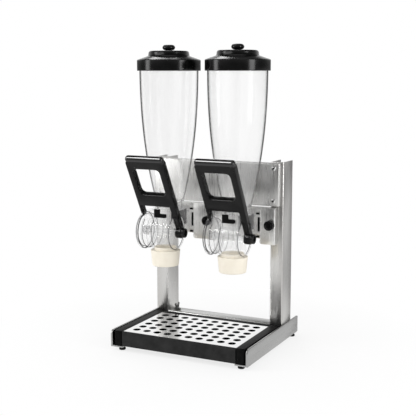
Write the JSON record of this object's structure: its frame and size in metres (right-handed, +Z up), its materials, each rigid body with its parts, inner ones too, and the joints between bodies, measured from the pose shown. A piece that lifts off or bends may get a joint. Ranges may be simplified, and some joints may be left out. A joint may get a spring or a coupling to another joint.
{
  "type": "dry food dispenser",
  "caption": "Dry food dispenser on a stainless stand: clear tapered hoppers with black lids, lever handles turning portion wheels, cream chutes and a crumb tray with a perforated grate.",
  "frame": {"origin": "floor under the middle of the stand", "axes": "+Z up, -Y to the front, +X to the right seen from the front"},
  "size_m": [0.311, 0.274, 0.629],
  "materials": {
    "brushed_stainless": "brushed",
    "polished_stainless": "polished",
    "screw_steel": "satin",
    "black_satin": "satin",
    "black_gloss": "gloss",
    "black_rubber": "matte",
    "clear_plastic": "clear gloss",
    "milky_plastic": "milky",
    "grey_plastic": "satin",
    "cream_plastic": "satin"
  },
  "bodies": {
    "stand": {"side_plate_left": "brushed_stainless", "side_plate_right": "brushed_stainless", "post_left": "brushed_stainless", "post_right": "brushed_stainless", "cross_rail": "brushed_stainless", "back_panel": "brushed_stainless", "panel_screws": "screw_steel", "mounting_rail": "brushed_stainless", "clamp_plate_left": "black_satin", "clamp_plate_right": "black_satin", "bumpers_left": "black_rubber", "bumpers_right": "black_rubber", "feet": "black_rubber", "housing_left": "clear_plastic", "housing_right": "clear_plastic"},
    "wing_screw": {"wing_screw": "screw_steel"},
    "clamp_knob_left": {"clamp_knob_left": "black_gloss"},
    "clamp_knob_right": {"clamp_knob_right": "black_gloss"},
    "tray": {"tray_front_rail": "black_satin", "tray_left_rail": "black_satin", "tray_right_rail": "black_satin", "tray_rear_rail": "black_satin", "pan_floor": "black_satin", "pan_front_wall": "black_satin", "pan_rear_wall": "black_satin", "pan_left_wall": "black_satin", "pan_right_wall": "black_satin"},
    "grate": {"grate": "polished_stainless"},
    "hopper_left": {"hopper_left": "clear_plastic"},
    "lid_left": {"lid_left": "black_gloss", "lid_button_left": "black_gloss"},
    "latch_left": {"latch_left": "black_satin"},
    "lever_left": {"handle_left": "black_satin", "end_disc_left": "clear_plastic", "axle_left": "milky_plastic", "axle_hub_left": "grey_plastic", "wheel_left": "milky_plastic", "boss_left": "black_satin"},
    "chute_left": {"chute_left": "cream_plastic"},
    "hopper_right": {"hopper_right": "clear_plastic"},
    "lid_right": {"lid_right": "black_gloss", "lid_button_right": "black_gloss"},
    "latch_right": {"latch_right": "black_satin"},
    "lever_right": {"handle_right": "black_satin", "end_disc_right": "clear_plastic", "axle_right": "milky_plastic", "axle_hub_right": "grey_plastic", "wheel_right": "milky_plastic", "boss_right": "black_satin"},
    "chute_right": {"chute_right": "cream_plastic"}
  },
  "joints": [
    {"name": "wing_screw_turn", "type": "hinge", "parent": "stand", "child": "wing_screw", "pos_m": [-0.109, 0.06925, 0.0434], "axis": [0, 0, 1], "continuous": true},
    {"name": "tray_pull", "type": "slide", "parent": "stand", "child": "tray", "axis": [0, -1, 0], "range_m": [0, 0.17]},
    {"name": "grate_lift", "type": "slide", "parent": "tray", "child": "grate", "axis": [0, 0, 1], "range_m": [0, 0.05]},
    {"name": "lever_pull_left", "type": "hinge", "parent": "stand", "child": "lever_left", "pos_m": [-0.078, -0.039, 0.2415], "axis": [1, 0, 0], "range_deg": [0, 75], "stiffness_Nm_per_rad": 0.2, "springref_deg": -34.38},
    {"name": "hopper_lift_left", "type": "slide", "parent": "stand", "child": "hopper_left", "axis": [0, 0, 1], "range_m": [0, 0.03]},
    {"name": "lid_lift_left", "type": "slide", "parent": "hopper_left", "child": "lid_left", "axis": [0, 0, 1], "range_m": [0, 0.05]},
    {"name": "latch_slide_left", "type": "slide", "parent": "stand", "child": "latch_left", "axis": [-1, 0, 0], "range_m": [0, 0.012]},
    {"name": "chute_pull_left", "type": "slide", "parent": "stand", "child": "chute_left", "axis": [0, 0, -1], "range_m": [0, 0.03]},
    {"name": "clamp_knob_turn_left", "type": "hinge", "parent": "stand", "child": "clamp_knob_left", "pos_m": [-0.014, 0.0275, 0.259], "axis": [0, -1, 0], "continuous": true},
    {"name": "lever_pull_right", "type": "hinge", "parent": "stand", "child": "lever_right", "pos_m": [0.078, -0.039, 0.2415], "axis": [1, 0, 0], "range_deg": [0, 75], "stiffness_Nm_per_rad": 0.2, "springref_deg": -34.38},
    {"name": "hopper_lift_right", "type": "slide", "parent": "stand", "child": "hopper_right", "axis": [0, 0, 1], "range_m": [0, 0.03]},
    {"name": "lid_lift_right", "type": "slide", "parent": "hopper_right", "child": "lid_right", "axis": [0, 0, 1], "range_m": [0, 0.05]},
    {"name": "latch_slide_right", "type": "slide", "parent": "stand", "child": "latch_right", "axis": [-1, 0, 0], "range_m": [0, 0.012]},
    {"name": "chute_pull_right", "type": "slide", "parent": "stand", "child": "chute_right", "axis": [0, 0, -1], "range_m": [0, 0.03]},
    {"name": "clamp_knob_turn_right", "type": "hinge", "parent": "stand", "child": "clamp_knob_right", "pos_m": [0.1295, 0.0275, 0.259], "axis": [0, -1, 0], "continuous": true}
  ]
}
